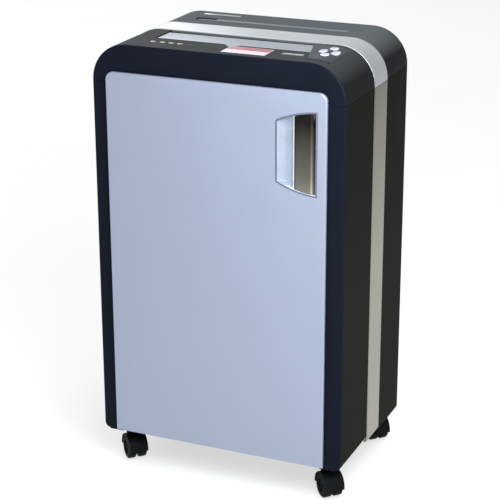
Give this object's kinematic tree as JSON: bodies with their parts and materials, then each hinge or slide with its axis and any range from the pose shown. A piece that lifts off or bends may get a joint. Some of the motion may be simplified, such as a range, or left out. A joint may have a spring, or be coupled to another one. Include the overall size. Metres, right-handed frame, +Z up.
{
  "type": "paper shredder",
  "caption": "Tall cabinet paper shredder with a side-hinged front door, waste bin, top paper slot, key pad and swivel casters.",
  "frame": {"origin": "on the floor, under the middle of the bounding box", "axes": "+X to the right seen from the front, +Y to the rear, +Z up; the door faces -Y"},
  "size_m": [0.4016, 0.2818, 0.6824],
  "materials": {
    "cover_grey": "fine-grained moulded plastic, dark slate grey",
    "frame_black": "satin navy-black moulded plastic",
    "side_black": "fine-grained black moulded plastic",
    "band_silver": "silver-painted plastic, satin",
    "band_grey": "warm silver-grey painted plastic, satin",
    "door_silver": "silver-blue metallic paint, satin",
    "throat_silver": "brushed",
    "cup_silver": "bright satin",
    "grip_chrome": "smoked mirror",
    "inner_black": "textured",
    "pad_grey": "satin",
    "key_silver": "pearl silver",
    "lens_clear": "frosted lens",
    "label_white": "printed film, blank",
    "strip_grey": "satin",
    "steel": "bright zinc-plated",
    "cutter_steel": "oiled hardened steel",
    "bronze": "sintered",
    "gear_metal": "sintered steel",
    "gear_nylon": "natural nylon",
    "motor_grey": "painted",
    "board_green": "solder mask",
    "bin_grey": "textured",
    "caster_black": "satin black nylon",
    "wheel_black": "smooth tread"
  },
  "bodies": {
    "cabinet": {"head_front_cover": "cover_grey", "head_band": "band_silver", "head_rear_cover": "cover_grey", "rear_strip": "strip_grey", "labels": "label_white", "throat_plate": "throat_silver", "paper_chute": "inner_black", "control_pad": "pad_grey", "indicator_lenses": "lens_clear", "control_board": "board_green", "front_post_left": "frame_black", "front_post_right": "frame_black", "side_band_left": "band_grey", "side_band_right": "band_grey", "rear_side_left": "side_black", "rear_side_right": "side_black", "rear_panel": "side_black", "panel_screws": "steel", "base_board": "inner_black", "cutter_deck": "steel", "chassis_left": "steel", "chassis_right": "steel", "shaft_bushes": "bronze", "tie_rods": "steel", "stripper_front": "inner_black", "stripper_rear": "inner_black", "idler_axle": "steel", "motor": "motor_grey", "waste_bin": "bin_grey", "mains_inlet": "inner_black", "magnet_catch": "inner_black", "hinge_brackets": "steel", "hinge_pins": "steel", "caster_plates": "steel"},
    "door": {"door_panel": "door_silver", "door_liner": "inner_black", "handle_cup": "cup_silver", "grip_plate": "grip_chrome", "strike_plate": "steel"},
    "cutter_front_shaft": {"cutter_front": "cutter_steel", "sync_gear_front": "gear_metal"},
    "cutter_rear_shaft": {"cutter_rear": "cutter_steel", "sync_gear_rear": "gear_metal", "drive_gear": "gear_metal"},
    "idler": {"idler_gear": "gear_nylon"},
    "motor_rotor": {"motor_pinion": "gear_metal"},
    "rocker": {"rocker_switch": "inner_black"},
    "key_reverse": {"key_reverse": "key_silver"},
    "key_stop": {"key_stop": "key_silver"},
    "key_auto": {"key_auto": "key_silver"},
    "key_forward": {"key_forward": "key_silver"},
    "swivel_front_left": {"hood_front_left": "caster_black"},
    "wheel_front_left": {"wheels_front_left": "wheel_black"},
    "swivel_front_right": {"hood_front_right": "caster_black"},
    "wheel_front_right": {"wheels_front_right": "wheel_black"},
    "swivel_rear_left": {"hood_rear_left": "caster_black"},
    "wheel_rear_left": {"wheels_rear_left": "wheel_black"},
    "swivel_rear_right": {"hood_rear_right": "caster_black"},
    "wheel_rear_right": {"wheels_rear_right": "wheel_black"}
  },
  "joints": [
    {"name": "door_hinge", "type": "hinge", "parent": "cabinet", "child": "door", "pos_m": [-0.17, -0.1369, 0.3475], "axis": [0, 0, -1], "range_deg": [0, 105]},
    {"name": "press_reverse", "type": "slide", "parent": "cabinet", "child": "key_reverse", "axis": [0, 0, -1], "range_m": [0, 0.0012], "stiffness_N_per_m": 350},
    {"name": "press_stop", "type": "slide", "parent": "cabinet", "child": "key_stop", "axis": [0, 0, -1], "range_m": [0, 0.0012], "stiffness_N_per_m": 350},
    {"name": "press_auto", "type": "slide", "parent": "cabinet", "child": "key_auto", "axis": [0, 0, -1], "range_m": [0, 0.0012], "stiffness_N_per_m": 350},
    {"name": "press_forward", "type": "slide", "parent": "cabinet", "child": "key_forward", "axis": [0, 0, -1], "range_m": [0, 0.0012], "stiffness_N_per_m": 350},
    {"name": "mains_rocker", "type": "hinge", "parent": "cabinet", "child": "rocker", "pos_m": [0.068, 0.1269, 0.115], "axis": [-1, 0, 0], "range_deg": [0, 16]},
    {"name": "cutter_rear_spin", "type": "hinge", "parent": "cabinet", "child": "cutter_rear_shaft", "pos_m": [0, 0.0009, 0.61], "axis": [1, 0, 0], "continuous": true},
    {"name": "cutter_front_spin", "type": "hinge", "parent": "cabinet", "child": "cutter_front_shaft", "pos_m": [0, -0.0431, 0.61], "axis": [1, 0, 0], "continuous": true},
    {"name": "idler_spin", "type": "hinge", "parent": "cabinet", "child": "idler", "pos_m": [-0.136, 0.05922, 0.63635], "axis": [1, 0, 0], "continuous": true},
    {"name": "motor_spin", "type": "hinge", "parent": "cabinet", "child": "motor_rotor", "pos_m": [-0.136, 0.0789, 0.597], "axis": [1, 0, 0], "continuous": true},
    {"name": "swivel_front_left", "type": "hinge", "parent": "cabinet", "child": "swivel_front_left", "pos_m": [-0.167, -0.1001, 0.047], "axis": [0, 0, 1], "continuous": true},
    {"name": "roll_front_left", "type": "hinge", "parent": "swivel_front_left", "child": "wheel_front_left", "pos_m": [-0.15993, -0.10717, 0.019], "axis": [0.7071, 0.7071, 0], "continuous": true},
    {"name": "swivel_front_right", "type": "hinge", "parent": "cabinet", "child": "swivel_front_right", "pos_m": [0.167, -0.1001, 0.047], "axis": [0, 0, 1], "continuous": true},
    {"name": "roll_front_right", "type": "hinge", "parent": "swivel_front_right", "child": "wheel_front_right", "pos_m": [0.17407, -0.10717, 0.019], "axis": [0.7071, 0.7071, 0], "continuous": true},
    {"name": "swivel_rear_left", "type": "hinge", "parent": "cabinet", "child": "swivel_rear_left", "pos_m": [-0.167, 0.1139, 0.047], "axis": [0, 0, 1], "continuous": true},
    {"name": "roll_rear_left", "type": "hinge", "parent": "swivel_rear_left", "child": "wheel_rear_left", "pos_m": [-0.15993, 0.10683, 0.019], "axis": [0.7071, 0.7071, 0], "continuous": true},
    {"name": "swivel_rear_right", "type": "hinge", "parent": "cabinet", "child": "swivel_rear_right", "pos_m": [0.167, 0.1139, 0.047], "axis": [0, 0, 1], "continuous": true},
    {"name": "roll_rear_right", "type": "hinge", "parent": "swivel_rear_right", "child": "wheel_rear_right", "pos_m": [0.17407, 0.10683, 0.019], "axis": [0.7071, 0.7071, 0], "continuous": true}
  ],
  "couplings": [
    {"joint": "cutter_front_spin", "follows": "cutter_rear_spin", "ratio": -1},
    {"joint": "idler_spin", "follows": "cutter_rear_spin", "ratio": -1.2857},
    {"joint": "motor_spin", "follows": "cutter_rear_spin", "ratio": 2.25}
  ]
}
